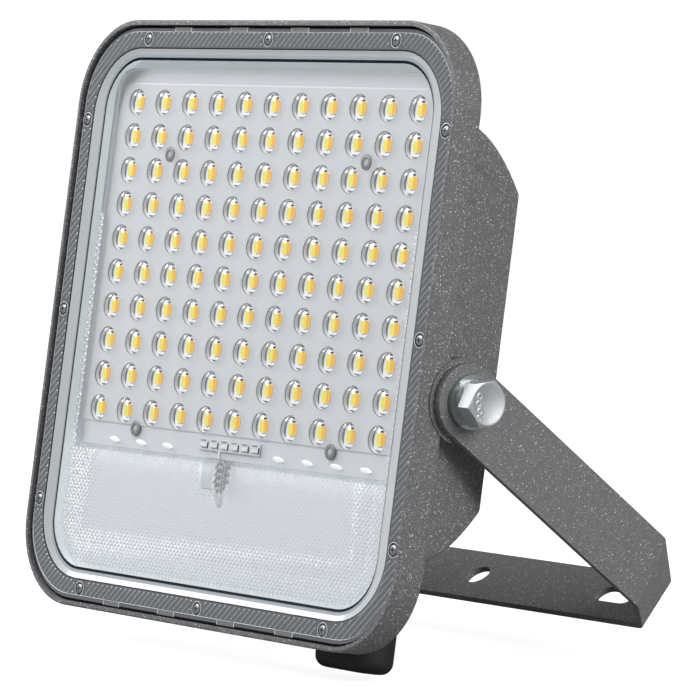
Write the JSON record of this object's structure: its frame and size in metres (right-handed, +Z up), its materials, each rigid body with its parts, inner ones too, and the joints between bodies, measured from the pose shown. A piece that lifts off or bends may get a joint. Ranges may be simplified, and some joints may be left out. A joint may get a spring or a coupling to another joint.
{
  "type": "rechargeable led floodlight",
  "caption": "Square floodlight with a clear cover over a grid of lensed LEDs, tilting on bolts in a folded strip bracket, with a capped charging inlet below.",
  "frame": {"origin": "centre of the bracket's centre hole, on the crossbar's mounting face", "axes": "+Z up with the lamp standing as in the picture, +X along the tilt axis to the viewer's right when facing the light, +Y from the light's face towards the bracket"},
  "size_m": [0.2608, 0.1565, 0.2412],
  "materials": {
    "powder_coat": "textured grey powder coat with fine metallic flecks",
    "bracket_coat": "textured grey powder coat with fine metallic flecks",
    "clear_plastic": "clear moulded plastic",
    "rubber": "matt rubber",
    "screw_steel": "plated steel",
    "zinc": "bright zinc plate",
    "white_sheet": "white painted sheet",
    "board_white": "white solder mask on an aluminium board",
    "board_green": "green solder mask",
    "led_package": "white package with a yellow phosphor",
    "white_plastic": "white moulded plastic",
    "lead_cover": "white cable cover",
    "black_plastic": "black moulded plastic",
    "cell_can": null,
    "cap_rubber": "semi-matt black rubber"
  },
  "bodies": {
    "bracket": {"bracket": "bracket_coat"},
    "lamp": {"housing": "powder_coat", "front_cover": "clear_plastic", "cover_gasket": "rubber", "cover_screws": "screw_steel", "inner_tray": "white_sheet", "led_board": "board_white", "led_packages": "led_package", "lens_plate": "clear_plastic", "lens_screws": "screw_steel", "terminal_row": "white_plastic", "lead_clip": "clear_plastic", "led_lead": "lead_cover", "lead_plug": "white_plastic", "battery_cells": "cell_can", "battery_cradle": "black_plastic", "battery_strap": "screw_steel", "control_board": "board_green", "board_screws": "screw_steel", "inductor": "black_plastic", "capacitors": "cell_can", "friction_washer_right": "rubber", "friction_washer_left": "rubber", "flat_washer_right": "zinc", "flat_washer_left": "zinc", "spring_washer_right": "zinc", "spring_washer_left": "zinc", "pivot_bolt_right": "zinc", "pivot_bolt_left": "zinc", "inlet_seal": "rubber", "inlet_socket": "black_plastic", "inlet_nut": "black_plastic"},
    "cap": {"inlet_cap": "cap_rubber"}
  },
  "joints": [
    {"name": "head_tilt", "type": "hinge", "parent": "bracket", "child": "lamp", "pos_m": [0, -0.10896, 0.08508], "axis": [1, 0, 0], "range_deg": [-90, 120]},
    {"name": "cap_pull", "type": "slide", "parent": "lamp", "child": "cap", "axis": [0, -0.1604, -0.9871], "range_m": [0, 0.03]}
  ]
}
